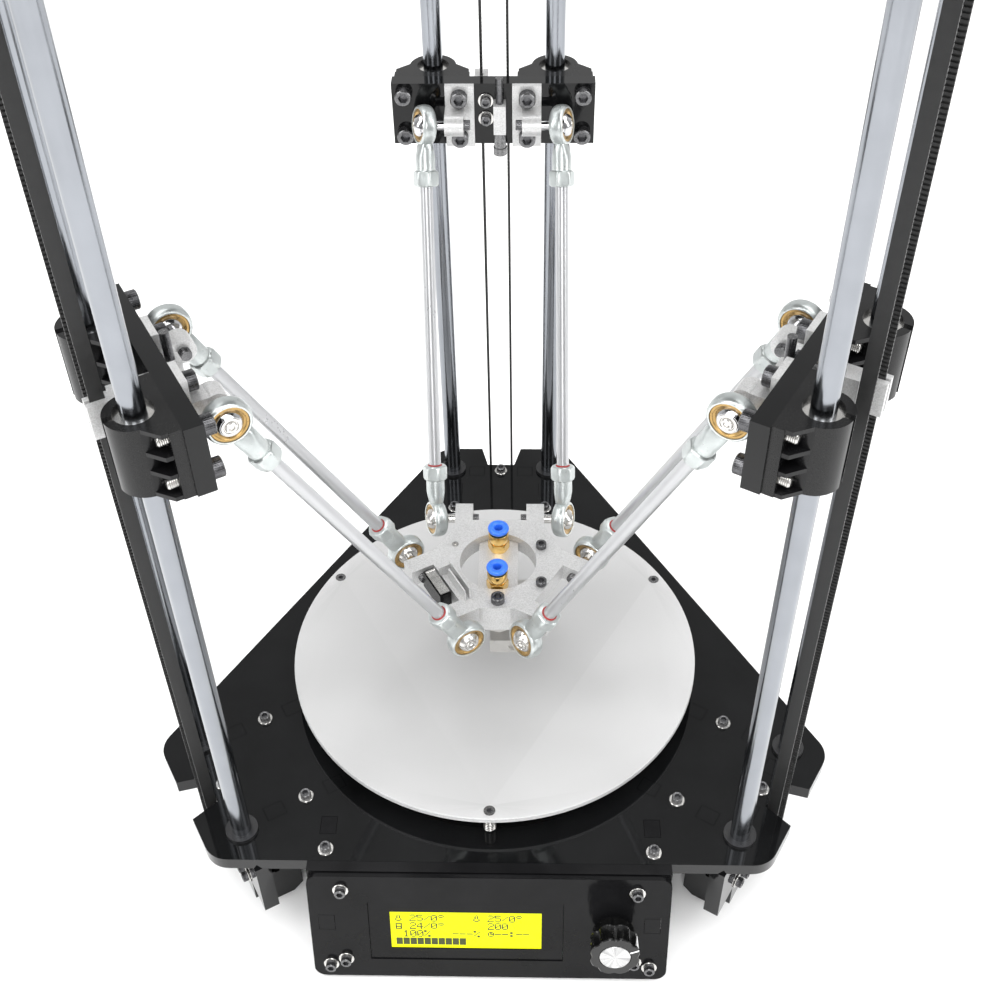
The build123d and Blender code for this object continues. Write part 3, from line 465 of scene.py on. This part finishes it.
def cap_screw(heads, shanks, place, head_r, head_h, shank_r, length):
    """A knurled socket cap screw: its head stands on z 0 and its shank goes down."""
    teeth = 36

    def knurl(a):
        return head_r - 0.10 * (0.5 - 0.5 * cos(teeth * a))

    c = head_r * 0.1
    key = head_r * 0.52
    deep = head_h * 0.5
    steps = teeth * 4
    outer = [(0.0, round_r(head_r - c)), (c * 0.7, round_r(head_r)), (c, knurl),
             (head_h - 1.4 * c, knurl), (head_h - 0.9 * c, round_r(head_r * 0.99)),
             (head_h, round_r(head_r - 1.1 * c)), (head_h, hexagon(key * 1.1)),
             (head_h - 0.15 * c, hexagon(key)), (head_h - deep, hexagon(key))]
    heads.lobes(place, outer, steps)
    profile = [(shank_r * 0.96, 0.05)]
    z, pitch = -0.6, shank_r * 0.32
    while z > -length + 0.6:
        profile.append((shank_r * 0.99, z))
        profile.append((shank_r * 0.86, z - pitch / 2))
        z -= pitch
    profile += [(shank_r * 0.85, -length + 0.2), (shank_r * 0.7, -length)]
    shanks.lathe(place, profile, 20)


def washer(shape, place, outer, inner, low, high):
    e = (high - low) * 0.25
    shape.lathe(place, [(inner, low), (outer - e, low), (outer, low + e), (outer, high - e),
                        (outer - e, high), (inner + e, high), (inner, high - e)], 40, hole=True)


def thickness(co):
    """A solid's size across its thinnest direction."""
    middle, flat_axis = axis_of(co, flat=True)
    along = (co - middle) @ flat_axis
    return along.max() - along.min()


def square(co):
    """The frame's T-slot nuts stay as they are."""
    size = co.max(0) - co.min(0)
    return max(size) < 7.9 and 2.2 < thickness(co) < 2.4


def upright(co):
    """The stop screw, its cap and its spring stand along z and stay as they are."""
    size = co.max(0) - co.min(0)
    return size[2] > max(size[0], size[1]) * 1.05


def studs(co):
    """The effector's ball studs and its short grub screw stay as they are."""
    size = co.max(0) - co.min(0)
    return max(size[0], size[1]) > 9 or size[2] < 7


def copy_solid(shape, obj, polygons):
    """Adds polygons of a CAD mesh to a shape as they are, with their corners joined."""
    index, at, faces = {}, [], []
    for i in polygons:
        face = []
        for v in obj.data.polygons[i].vertices:
            p = tuple(round(c / MM, 4) for c in obj.data.vertices[v].co)
            if p not in index:
                index[p] = len(at)
                at.append(p)
            face.append(index[p])
        if len(set(face)) == len(face):
            faces.append(tuple(face))
    shape.add(Matrix.Identity(4), at, faces)


def rebuild_fasteners(node, body, shank_material, keep, kept_material):
    """Puts a detailed black-headed screw on each CAD screw and a ring on each CAD washer.
    Solids that keep accepts are copied as they are."""
    heads, shanks, washers, others = Shape(), Shape(), Shape(), Shape()
    obj = NODES[node]
    for polygons, co in solids_of(obj):
        co = co / MM
        if keep(co):
            copy_solid(others, obj, polygons)
            continue
        middle, long_axis = axis_of(co)
        along = (co - middle) @ long_axis
        if along.max() - along.min() < SHORTEST_SCREW:
            middle, flat_axis = axis_of(co, flat=True)
            along = (co - middle) @ flat_axis
            out = np.linalg.norm((co - middle) - np.outer(along, flat_axis), axis=1)
            place = frame_at(middle, flat_axis, any_x(flat_axis))
            washer(washers, place, out.max(), out.min(), along.min(), along.max())
            continue
        out = np.linalg.norm((co - middle) - np.outer(along, long_axis), axis=1)
        wide = out > out.max() * 0.9
        if along[wide].mean() < 0:
            long_axis = -long_axis
            along = -along
        seat, top, foot = along[wide].min(), along.max(), along.min()
        shank = out[along < seat - 1].max()
        place = frame_at(middle + long_axis * seat, long_axis, any_x(long_axis))
        cap_screw(heads, shanks, place, out.max(), top - seat, shank, seat - foot)
    for shape, tail, pick in ((heads, "heads", SOCKET), (shanks, "shanks", shank_material),
                              (washers, "washers", BRIGHT), (others, "nuts", kept_material)):
        if shape.verts:
            piece = shape.piece(f"{node}_{tail}", pick, body, 32)
            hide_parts(node)


# ---- belts ----
def belt(tower, angle, r_tip=6.17, r_root=6.9, r_out=7.5):
    """A toothed belt on its loop, with the teeth on the inside."""
    low, high = BELT_AXES
    straight, arc = high - low, pi * r_tip
    total = 2 * (straight + arc)
    teeth = round(total / TOOTH_PITCH)
    pitch = total / teeth
    stations = []
    for i in range(teeth):
        s = i * pitch
        for f, r in ((0.05, r_root), (0.30, r_root), (0.42, r_tip), (0.93, r_tip)):
            stations.append((s + f * pitch, r))

    def at(s, r):
        s %= total
        if s < straight:
            return (r, low + s)
        s -= straight
        if s < arc:
            a = s / r_tip
            return (r * cos(a), high + r * sin(a))
        s -= arc
        if s < straight:
            return (-r, high - s)
        a = pi + (s - straight) / r_tip
        return (r * cos(a), low + r * sin(a))

    shape = Shape()
    turn = Matrix.Rotation(radians(angle), 4, "Z")
    rings = []
    for s, r in stations:
        y0, z0 = at(s, r)
        y1, z1 = at(s, r_out)
        inner_x, outer_x = BELT_X
        rings.append([(inner_x, y0, z0), (outer_x, y0, z0), (outer_x, y1, z1), (inner_x, y1, z1)])
    shape.rings(turn, rings, closed=True)
    piece = shape.piece(f"belt_{tower}", RUBBER, "frame", 25)
    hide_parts("drive_belts")


# ---- arms ----
def rod_end(forgings, races, place):
    """A forged female rod end: ball at the origin, its stud along y, its shank along z."""
    side = place @ Matrix.Rotation(radians(-90), 4, "X")
    profile = [(8.2, -3.45), (8.8, -3.5), (9.35, -3.1), (9.8, -2.3), (10.0, -1.0), (10.0, 1.0),
               (9.8, 2.3), (9.35, 3.1), (8.8, 3.5), (8.2, 3.45)]
    forgings.lathe(side, profile, 56, hole=True)

    def section(z, a, b, power, steps=48):
        ring = []
        for k in range(steps):
            t = 2 * pi * k / steps
            c, s = cos(t), sin(t)
            ring.append((a * abs(c) ** (2 / power) * (1 if c > 0 else -1),
                         b * abs(s) ** (2 / power) * (1 if s > 0 else -1), z))
        return ring

    neck = [section(8.7, 4.3, 2.9, 3.5), section(9.3, 4.6, 3.2, 3.2), section(11, 5.0, 3.7, 2.8),
            section(13, 5.05, 4.3, 2.4), section(15, 5.0, 4.8, 2.1), section(17, 4.95, 4.95, 2.0),
            section(22.4, 4.9, 4.9, 2.0)]
    forgings.rings(place, neck)
    nut = [(22.0, round_r(5.2)), (22.5, hexagon(5.7, 6.0)), (23.2, hexagon(5.75, 6.55)),
           (28.9, hexagon(5.75, 6.55)), (29.6, hexagon(5.7, 6.0)), (30.0, round_r(5.3))]
    forgings.lobes(place, nut, 72)
    inner = [(6.43 * cos(a), 6.43 * sin(a)) for a in [radians(d) for d in range(-22, 23, 4)]]
    edge = [(6.3, 2.6), (6.75, 2.75), (7.0, 3.05), (7.9, 3.05), (8.17, 2.8)]
    loop = [(r, -z) for r, z in reversed(edge)] + inner + edge
    races.lathe(side, loop, 48, hole=True)


def arm(name, angle):
    j = JOINTS[f"{name}_twist"]
    top = Vector(j["pos_m"]) / MM
    along = Vector(j["axis"])
    tangent = Vector((-sin(radians(angle)), cos(radians(angle)), 0))
    place = frame_at(top, along, tangent.cross(along))
    far = place @ Matrix.Translation((0, 0, ARM_LENGTH)) @ Matrix.Rotation(pi, 4, "X")
    ends, races, tube, ring = Shape(), Shape(), Shape(), Shape()
    upper, lower = END_TURN.get(name, (0, 0))
    rod_end(ends, races, place @ Matrix.Rotation(radians(upper), 4, "Z"))
    rod_end(ends, races, far @ Matrix.Rotation(radians(-lower), 4, "Z"))
    tube.lathe(place, [(2.9, 27.0), (3.25, 27.3), (3.25, ARM_LENGTH - 27.3),
                       (2.9, ARM_LENGTH - 27.0)], 40)
    ring.lathe(far, [(3.2, 29.9), (3.75, 29.95), (3.9, 30.2), (3.5, 30.6), (3.2, 30.7)], 36,
               hole=True)
    for shape, tail, pick in ((ends, "rod_ends", ZINC), (races, "races", RACE),
                              (tube, "tube", TUBE), (ring, "lacquer", LACQUER)):
        piece = shape.piece(f"{name}_{tail}", pick, name, 40)
        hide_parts(name)


def stud_details(threads=5):
    """The stepped end of each ball and the black thread end of its stud."""
    balls = {}
    for name, tower in ARMS:
        j = JOINTS[f"{name}_twist"]
        top = Vector(j["pos_m"]) / MM
        foot = top + Vector(j["axis"]) * ARM_LENGTH
        tangent = Vector((-sin(radians(TOWERS[tower])), cos(radians(TOWERS[tower])), 0))
        side = 1 if top.dot(tangent) > 0 else -1
        for body, at in ((f"carriage_{tower}", top), ("effector", foot)):
            balls.setdefault(body, []).append(frame_at(at, tangent * side, (0, 0, 1)))
    for body, spots in balls.items():
        caps, tips = Shape(), Shape()
        for spot in spots:
            caps.lobes(spot, [(3.4, round_r(3.2)), (4.5, round_r(4.3)), (4.85, round_r(4.0)),
                              (4.9, round_r(3.8)), (4.9, round_r(3.1)), (4.75, round_r(2.95)),
                              (4.56, round_r(2.8)), (4.56, round_r(2.55)), (5.2, round_r(2.4)),
                              (5.4, round_r(2.1)), (5.4, hexagon(1.3)), (4.6, hexagon(1.2))], 48)
            profile = [(2.3, -23.0), (2.55, -22.7)]
            for i in range(threads):
                profile += [(2.62, -22.5 + 0.55 * i), (2.5, -22.25 + 0.55 * i)]
            profile += [(2.62, -19.7), (2.3, -19.6)]
            tips.lathe(spot, profile, 24)
        for shape, tail, pick in ((caps, "ball_caps", BRIGHT), (tips, "stud_ends", SOCKET)):
            piece = shape.piece(f"{body}_{tail}", pick, body, 30)


# ---- coil springs ----
def coil(shape, place, low, high, mean_r, wire_r, turns):
    """A spring of round wire between two heights."""
    steps, sides = 26, 10
    total = int(turns * steps)
    rings = []
    for i in range(total + 1):
        f = i / total
        a = 2 * pi * turns * f
        z = low + wire_r + (high - low - 2 * wire_r) * f
        centre = Vector((mean_r * cos(a), mean_r * sin(a), z))
        out = Vector((cos(a), sin(a), 0))
        ring = []
        for k in range(sides):
            b = 2 * pi * k / sides
            ring.append(tuple(centre + wire_r * (out * cos(b) + Vector((0, 0, sin(b))))))
        rings.append(ring)
    shape.rings(place, rings)


# ---- the bed's screws, nuts and springs ----
def bed_mounting():
    """The bed's three countersunk screws, each with two nuts and a spring."""
    screws, nuts, springs = Shape(), Shape(), Shape()
    for angle in (270, 30, 150):
        a = radians(angle)
        at = Matrix.Translation((BED_SCREW_R * cos(a), BED_SCREW_R * sin(a), 0))
        screws.lobes(at, [(-34.0, round_r(1.2)), (-33.4, round_r(1.45)), (-1.7, round_r(1.5)),
                          (-0.35, round_r(2.9)), (-0.05, round_r(2.95)), (-0.02, hexagon(1.25)),
                          (-1.3, hexagon(1.15))], 48)
        spring_top = BED_TOP - BED_THICK - BED_NUT
        nuts.lobes(at, [(spring_top, hexagon(2.7, 2.9)), (spring_top + 0.4, hexagon(2.7)),
                        (spring_top + 2.0, hexagon(2.7)),
                        (spring_top + 2.35, hexagon(2.7, 2.9))], 48)
        low = BASE_TOP - BASE_THICK
        nuts.lobes(at, [(low - BED_NUT, hexagon(2.7, 2.9)), (low - 2.0, hexagon(2.7)),
                        (low - 0.4, hexagon(2.7)), (low - 0.05, hexagon(2.7, 2.9))], 48)
        coil(springs, at, BASE_TOP + 0.02, spring_top - 0.02, 3.0, 0.42, 6)
    for shape, name, pick in ((screws, "bed_screws", SOCKET), (nuts, "bed_nuts", BRIGHT),
                              (springs, "bed_coil_springs", BRIGHT)):
        piece = shape.piece(name, pick, "frame")
        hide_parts("bed_springs")


# ---- knob ----
def knob():
    """The fluted body, its spun cap, and the white pointer that runs over its edge."""
    turn = JOINTS["knob_turn"]
    n = Vector(turn["axis"])
    place = frame_at(Vector(turn["pos_m"]) / MM, n, (1, 0, 0))

    def fluted(r, depth):
        def radius(a):
            w = 0.5 + 0.5 * cos(8 * a)
            return r - depth * w ** 2.5
        return radius

    body, cap, line = Shape(), Shape(), Shape()
    body.lobes(place, [(4.5, round_r(10.0)), (4.9, fluted(10.6, 0.5)), (9.5, fluted(10.9, 0.6)),
                       (10.2, fluted(10.9, 0.6)), (10.3, fluted(11.6, 0.7)),
                       (10.9, fluted(12.3, 1.3)), (12.0, fluted(12.0, 1.6)),
                       (18.2, fluted(11.6, 1.6)), (18.9, fluted(11.9, 1.4)),
                       (19.6, fluted(12.5, 1.0)), (20.5, fluted(12.5, 1.0)),
                       (20.9, fluted(12.1, 1.0)), (21.0, round_r(8.0)), (20.6, round_r(7.7)),
                       (20.6, round_r(4.0))], 128)
    cap.lathe(place, [(7.55, 20.2), (7.55, 21.05), (7.35, 21.2), (6.9, 21.2), (6.8, 21.14),
                      (0.6, 21.14), (0.5, 21.1)], 64)
    place_line = place @ Matrix.Rotation(radians(22.5), 4, "Z")
    line.block(place_line, (7.9, 12.0), (-0.35, 0.35), (20.85, 21.1))
    line.wedge(place_line, (11.3, 12.15), (11.3, 12.5), (-0.35, 0.35), (11.5, 20.9))
    for shape, name, pick in ((body, "knob_body", KNOB_BLACK), (cap, "knob_cap", spun_metal_painted_sheen(place)),
                              (line, "knob_pointer", POINTER)):
        piece = shape.piece(name, pick, "knob", 30)
        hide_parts("knob")


def spun_metal_painted_sheen(place):
    """Aluminium turned in fine circles, with a painted highlight: the light such metal throws is put
    into its colour as light and dark wedges round the axis.
    """
    m = material("spun_cap_painted_sheen", (0.55, 0.55, 0.55), 0.25, metal=0.85, tint=0.02, patch=200, grain=1500,
                 bump=0.02)
    nt = m.node_tree
    bsdf = nt.nodes["Principled BSDF"]
    where = nt.nodes.new("ShaderNodeTexCoord").outputs["Object"]
    vm = nt.nodes.new("ShaderNodeVectorMath")
    vm.operation = "SUBTRACT"
    vm.inputs[1].default_value = place.translation * MM
    nt.links.new(where, vm.inputs[0])
    components = []
    for axis in (place.col[0].xyz, place.col[1].xyz):
        dot = nt.nodes.new("ShaderNodeVectorMath")
        dot.operation = "DOT_PRODUCT"
        dot.inputs[1].default_value = axis
        nt.links.new(vm.outputs["Vector"], dot.inputs[0])
        components.append(dot.outputs["Value"])
    angle = math(nt, "ARCTAN2", components[1], components[0])
    wedge = nt.nodes.new("ShaderNodeTexNoise")
    wedge.noise_dimensions = "1D"
    wedge.inputs["Scale"].default_value = 2.2
    wedge.inputs["Detail"].default_value = 6
    nt.links.new(angle, wedge.inputs["W"])
    # Painted highlight: the base colour goes light and dark in wedges by the angle round the cap's
    # axis.
    painted_sheen_wedges = spread(nt, wedge.outputs["Fac"], 0, 1, 0.35, 0.65)
    shade = mix(nt, painted_sheen_wedges, (0.36, 0.36, 0.36), (0.66, 0.66, 0.66))
    nt.links.new(shade, bsdf.inputs["Base Color"])
    return m


# ---- push fittings ----
def push_fittings():
    """The two fittings: a hexagon with a collar above it, and a round collet."""
    brass, collets = Shape(), Shape()
    low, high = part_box("push_fittings")
    base = low[2] / MM
    mid_x, mid_y = ((low[i] + high[i]) / 2 / MM for i in (0, 1))
    for s in (-1, 1):
        at = Matrix.Translation((mid_x, mid_y + FITTING_Y * s, base))
        brass.lobes(at, [(0.0, round_r(4.6)), (0.02, hexagon(5.0, 5.3)), (0.5, hexagon(5.0, 5.75)),
                         (4.6, hexagon(5.0, 5.75)), (5.2, hexagon(5.0, 5.3)), (5.3, round_r(4.7)),
                         (5.9, round_r(4.6)), (6.2, round_r(5.1)), (6.5, round_r(5.3)),
                         (11.0, round_r(5.3)), (11.5, round_r(5.1)), (11.6, round_r(4.7)),
                         (11.6, round_r(3.4)), (8.0, round_r(3.3))], 96)
        collets.lathe(at, [(2.1, 7.0), (3.05, 7.0), (3.1, 12.2), (4.2, 12.5), (5.1, 12.9),
                           (5.5, 13.6), (5.55, 14.3), (5.3, 14.9), (4.7, 15.3), (3.8, 15.4),
                           (2.9, 15.2), (2.3, 14.7), (2.1, 14.0)], 56, hole=True)
    for shape, name, pick in ((brass, "fitting_bodies", BRASS),
                              (collets, "fitting_collets", COLLET)):
        piece = shape.piece(name, pick, "effector", 34)
        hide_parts("push_fittings")


# ---- what the display shows: figures only ----
FONT = {
    "0": "01110 10001 10011 10101 11001 10001 01110", "1": "00100 01100 00100 00100 00100 00100 01110",
    "2": "01110 10001 00001 00110 01000 10000 11111", "3": "01110 10001 00001 00110 00001 10001 01110",
    "4": "00010 00110 01010 10010 11111 00010 00010", "5": "11111 10000 11110 00001 00001 10001 01110",
    "6": "00110 01000 10000 11110 10001 10001 01110", "7": "11111 00001 00010 00100 01000 01000 01000",
    "8": "01110 10001 10001 01110 10001 10001 01110", "/": "00000 00001 00010 00100 01000 10000 00000",
    "%": "11000 11001 00010 00100 01000 10011 00011", "-": "00000 00000 00000 11111 00000 00000 00000",
    ":": "00000 01100 01100 00000 01100 01100 00000", "o": "01110 10001 01110 00000 00000 00000 00000",
    "!": "00100 01010 01010 01010 10001 10001 01110", "#": "00000 11111 10001 10001 11111 10001 11111",
    "@": "00000 01110 10101 10111 10001 01110 00000", "=": "11111 11111 11111 11111 11111 11111 11111",
}
ROWS = ("! 25/0o    ! 25/0o  ",
        "# 24/0o      200    ",
        " 100%   ---% @--:-- ",
        "==========          ")
GLASS_X = (-50.3, 26.5)
GLASS_Y = (-15.8, 10.3)
CELL_X, CELL_Y = 3.6, 5.55
CELL_MARGIN = (0.2, 0.45)
DOT = 0.65
DOT_GAP = 0.04
DOT_Z = (-1.19, -1.14)


def display():
    """Raised dots on the glass, one cell to a character."""
    turn = JOINTS["knob_turn"]
    panel = (frame_at(Vector(turn["pos_m"]) / MM, turn["axis"], (1, 0, 0))
             @ Matrix.Translation((-KNOB_ON_PANEL[0], -KNOB_ON_PANEL[1], 0)))
    dots = Shape()
    left = sum(GLASS_X) / 2 - len(ROWS[0]) / 2 * CELL_X + CELL_MARGIN[0]
    top = sum(GLASS_Y) / 2 + len(ROWS) / 2 * CELL_Y - CELL_MARGIN[1]
    for r, row in enumerate(ROWS):
        for c, char in enumerate(row):
            if char == " ":
                continue
            for v, bits in enumerate(FONT[char].split()):
                for u, bit in enumerate(bits):
                    if bit == "1":
                        x = left + c * CELL_X + u * DOT
                        y = top - r * CELL_Y - v * (DOT + DOT_GAP)
                        dots.block(panel, (x, x + DOT), (y - DOT, y), DOT_Z)
    piece = dots.piece("display_figures", INK, "frame")


for tower, angle in TOWERS.items():
    belt(tower, angle)
for name, tower in ARMS:
    arm(name, TOWERS[tower])
stud_details()
bed_mounting()
knob()
push_fittings()
display()
rebuild_fasteners("frame_screws", "frame", SOCKET, square, BRIGHT)
for tower in TOWERS:
    rebuild_fasteners(f"carriage_fasteners_{tower}", f"carriage_{tower}", BRIGHT, upright, SOCKET)
rebuild_fasteners("effector_fasteners", "effector", SOCKET, studs, BRIGHT)


# ---- floor, light, camera, in metres ----
FLOOR_R = 14.0
FLOOR_GAP = 0.0002
WORLD_LEVEL, WALL_LEVEL, ROOF_LEVEL = 0.42, 0.55, 0.25
LAMPS = (("key_left", (-1.7, -0.9, 1.5), (0, 0, 0.15), (0.7, 2.6), 27),
         ("key_right", (1.7, -0.7, 1.4), (0, 0, 0.15), (0.7, 2.6), 24),
         ("front", (0, -1.9, 1.3), (0, 0, 0.1), (0.7, 1.6), 19),
         ("overhead", (0, -0.1, 2.2), (0, 0, 0), (3.0, 2.6), 70))
LENS, SENSOR = 48.933, 36.0
CAMERA_AT = (0.02118, -0.48943, 0.58435)
CAMERA_YAW, CAMERA_PITCH, CAMERA_ROLL = -0.033907, 0.764885, -0.018321


def stage_floor():
    low = CAD_BOX[0][2] - FLOOR_GAP
    me = bpy.data.meshes.new("floor")
    corners = ((-1, -1), (1, -1), (1, 1), (-1, 1))
    me.from_pydata([(x * FLOOR_R, y * FLOOR_R, low) for x, y in corners], [], [(0, 1, 2, 3)])
    floor = bpy.data.objects.new("floor", me)
    bpy.context.scene.collection.objects.link(floor)
    m = material("studio_floor", (0.93, 0.93, 0.93), 0.75, tint=0.01, patch=2, grain=40, bump=0.01)
    me.materials.append(m)


def area(name, place, target, size, power):
    light = bpy.data.lights.new(name, "AREA")
    light.shape = "RECTANGLE"
    light.size, light.size_y = size
    light.energy = power
    obj = bpy.data.objects.new(name, light)
    bpy.context.scene.collection.objects.link(obj)
    obj.location = place
    obj.rotation_euler = (Vector(target) - Vector(place)).to_track_quat("-Z", "Y").to_euler()


def studio():
    """A pale room, brighter at the back and overhead, with four soft lamps."""
    world = bpy.data.worlds.new("studio")
    bpy.context.scene.world = world
    world.use_nodes = True
    nt = world.node_tree
    background = nt.nodes["Background"]
    where = nt.nodes.new("ShaderNodeTexCoord").outputs["Generated"]
    split = nt.nodes.new("ShaderNodeSeparateXYZ")
    nt.links.new(where, split.inputs["Vector"])
    wall = math(nt, "MULTIPLY", spread(nt, split.outputs["Y"], 0, 1, 0.0, 0.6),
                spread(nt, split.outputs["Z"], 1, 0, 0.5, 0.68))
    roof = spread(nt, split.outputs["Z"], 0, 1, 0.3, 0.9)
    level = math(nt, "ADD", math(nt, "MULTIPLY", wall, WALL_LEVEL),
                 math(nt, "MULTIPLY", roof, ROOF_LEVEL))
    level = math(nt, "ADD", level, WORLD_LEVEL)
    nt.links.new(level, background.inputs["Strength"])
    background.inputs["Color"].default_value = (1, 1, 1, 1)
    for lamp in LAMPS:
        area(*lamp)


def camera():
    """The camera fitted to the photograph."""
    data = bpy.data.cameras.new("view")
    data.lens = LENS
    data.sensor_width = SENSOR
    data.clip_start = 0.01
    obj = bpy.data.objects.new("view", data)
    bpy.context.scene.collection.objects.link(obj)
    yaw, pitch, roll = CAMERA_YAW, CAMERA_PITCH, CAMERA_ROLL
    forward = Vector((sin(yaw) * cos(pitch), cos(yaw) * cos(pitch), -sin(pitch)))
    level = Vector((cos(yaw), -sin(yaw), 0))
    above = level.cross(forward)
    right = level * cos(roll) + above * sin(roll)
    upward = above * cos(roll) - level * sin(roll)
    turn = Matrix((right, upward, -forward)).transposed().to_4x4()
    obj.matrix_world = Matrix.Translation(CAMERA_AT) @ turn
    bpy.context.scene.camera = obj


stage_floor()
studio()
camera()
bpy.context.scene.view_settings.view_transform = "Standard"

bpy.context.view_layer.update()
